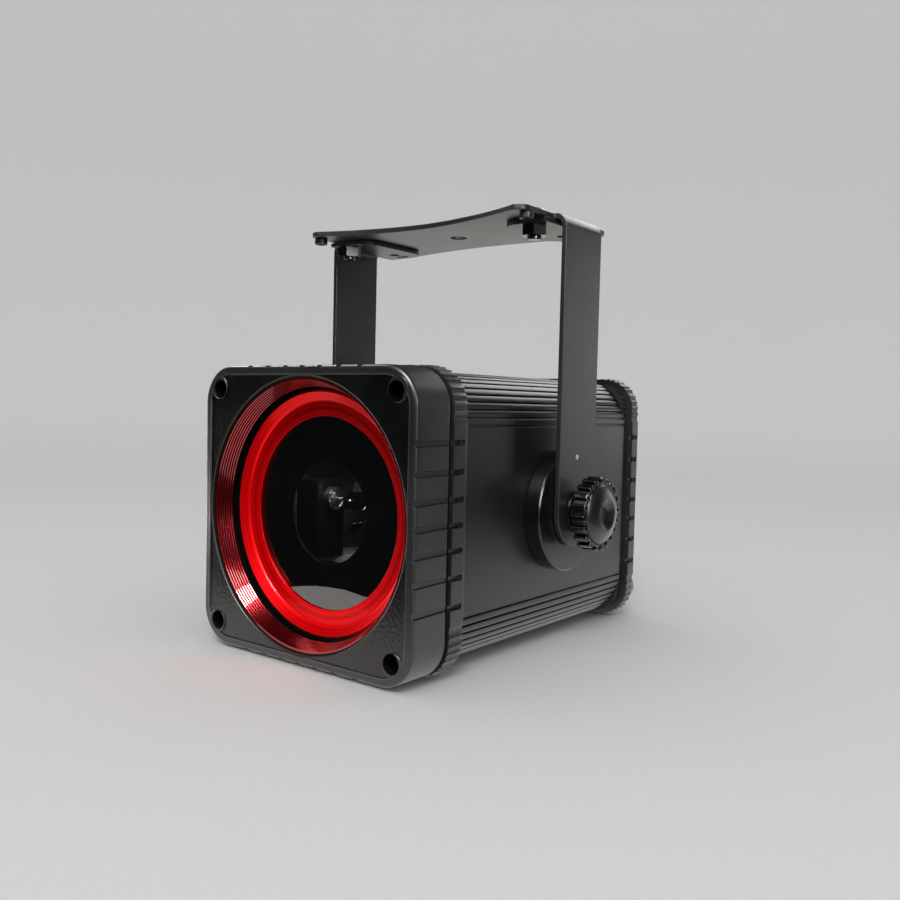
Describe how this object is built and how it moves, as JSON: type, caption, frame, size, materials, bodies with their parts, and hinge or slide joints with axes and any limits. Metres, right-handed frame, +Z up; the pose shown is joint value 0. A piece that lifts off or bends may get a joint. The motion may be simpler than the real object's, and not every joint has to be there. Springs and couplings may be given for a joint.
{
  "type": "laser light projector",
  "caption": "Square sealed housing with a round front window, hung between knob clamps in a tilting yoke, with steered mirrors inside and controls at the rear.",
  "frame": {"origin": "centre of the bounding box at its lowest plane, under the middle of the housing", "axes": "+Z up; the beam leaves towards -Y through the round window; the rear controls face +Y; +X runs along the tilt axis"},
  "size_m": [0.2212, 0.2472, 0.2511],
  "materials": {
    "cast": "fine satin black paint on die-cast aluminium",
    "anodised": "satin black anodised",
    "painted_steel": "fine satin black paint",
    "rubber": "matte",
    "red_ring": "bright red anodised",
    "dark_glass": "dark coated",
    "black_sheet": "matte black sheet",
    "black_box": "matte",
    "gloss_knob": "gloss",
    "black_plastic": "satin",
    "steel": "plated",
    "bare_aluminium": "machined",
    "mirror": "polished"
  },
  "bodies": {
    "housing": {"front_cap": "cast", "front_collar": "cast", "front_gasket": "rubber", "extruded_housing": "anodised", "rear_gasket": "rubber", "rear_cover": "cast", "red_trim_ring": "red_ring", "window_glass": "dark_glass", "window_seal": "rubber", "aperture_mask": "black_sheet", "front_screw_upper_left": "steel", "front_screw_upper_right": "steel", "front_screw_lower_left": "steel", "front_screw_lower_right": "steel", "rear_screw_upper_left": "steel", "rear_screw_upper_right": "steel", "rear_screw_lower_left": "steel", "rear_screw_lower_right": "steel", "pivot_disc_left": "cast", "pivot_disc_right": "cast", "pivot_insert_left": "steel", "pivot_insert_right": "steel", "optics_base": "bare_aluminium", "scanner_block": "bare_aluminium", "scan_motor_tall": "steel", "scan_motor_low": "steel", "laser_module_red": "bare_aluminium", "laser_module_green": "bare_aluminium", "laser_module_blue": "bare_aluminium", "beam_combiner_red": "mirror", "beam_combiner_green": "mirror", "beam_combiner_blue": "mirror", "scanner_driver": "black_box", "power_supply": "black_box", "display_window": "dark_glass", "key_switch": "steel", "power_gland": "black_plastic", "signal_gland": "black_plastic", "safety_eyelet": "steel"},
    "yoke": {"yoke_bracket": "painted_steel", "stiffener_left": "painted_steel", "stiffener_right": "painted_steel", "stiffener_bolt_left": "steel", "stiffener_bolt_right": "steel", "stiffener_nut_left": "steel", "stiffener_nut_right": "steel", "spacer_left": "painted_steel", "spacer_right": "painted_steel"},
    "washer_left": {"knob_washer_left": "steel"},
    "washer_right": {"knob_washer_right": "steel"},
    "knob_left": {"knob_left": "gloss_knob"},
    "knob_right": {"knob_right": "gloss_knob"},
    "mirror_tall": {"scan_mirror_tall": "mirror"},
    "mirror_low": {"scan_mirror_low": "mirror"},
    "button_1": {"menu_button_1": "rubber"},
    "button_2": {"menu_button_2": "rubber"},
    "button_3": {"menu_button_3": "rubber"},
    "button_4": {"menu_button_4": "rubber"},
    "key": {"key": "steel"}
  },
  "joints": [
    {"name": "yoke_tilt", "type": "hinge", "parent": "housing", "child": "yoke", "pos_m": [0, 0.0084, 0.08], "axis": [1, 0, 0], "range_deg": [-180, 180]},
    {"name": "washer_left_slide", "type": "slide", "parent": "housing", "child": "washer_left", "axis": [-1, 0, 0], "range_m": [0, 0.00625]},
    {"name": "washer_right_slide", "type": "slide", "parent": "housing", "child": "washer_right", "axis": [1, 0, 0], "range_m": [0, 0.00625]},
    {"name": "knob_left_turn", "type": "hinge", "parent": "washer_left", "child": "knob_left", "pos_m": [-0.1, 0.0084, 0.08], "axis": [-1, 0, 0], "range_deg": [0, 1800]},
    {"name": "knob_right_turn", "type": "hinge", "parent": "washer_right", "child": "knob_right", "pos_m": [0.1, 0.0084, 0.08], "axis": [1, 0, 0], "range_deg": [0, 1800]},
    {"name": "mirror_tall_scan", "type": "hinge", "parent": "housing", "child": "mirror_tall", "pos_m": [-0.012, -0.0656, 0.083], "axis": [1, 0, 0], "range_deg": [-15, 15]},
    {"name": "mirror_low_scan", "type": "hinge", "parent": "housing", "child": "mirror_low", "pos_m": [-0.012, -0.0656, 0.067], "axis": [0, 1, 0], "range_deg": [-15, 15]},
    {"name": "button_1_press", "type": "slide", "parent": "housing", "child": "button_1", "axis": [0, -1, 0], "range_m": [0, 0.001], "stiffness_N_per_m": 1200, "springref_m": -0.001},
    {"name": "button_2_press", "type": "slide", "parent": "housing", "child": "button_2", "axis": [0, -1, 0], "range_m": [0, 0.001], "stiffness_N_per_m": 1200, "springref_m": -0.001},
    {"name": "button_3_press", "type": "slide", "parent": "housing", "child": "button_3", "axis": [0, -1, 0], "range_m": [0, 0.001], "stiffness_N_per_m": 1200, "springref_m": -0.001},
    {"name": "button_4_press", "type": "slide", "parent": "housing", "child": "button_4", "axis": [0, -1, 0], "range_m": [0, 0.001], "stiffness_N_per_m": 1200, "springref_m": -0.001},
    {"name": "key_turn", "type": "hinge", "parent": "housing", "child": "key", "pos_m": [-0.048, 0.1101, 0.094], "axis": [0, -1, 0], "range_deg": [0, 90]}
  ],
  "couplings": [
    {"joint": "washer_left_slide", "follows": "knob_left_turn", "m_per_rad": 0.00019894},
    {"joint": "washer_right_slide", "follows": "knob_right_turn", "m_per_rad": 0.00019894}
  ]
}
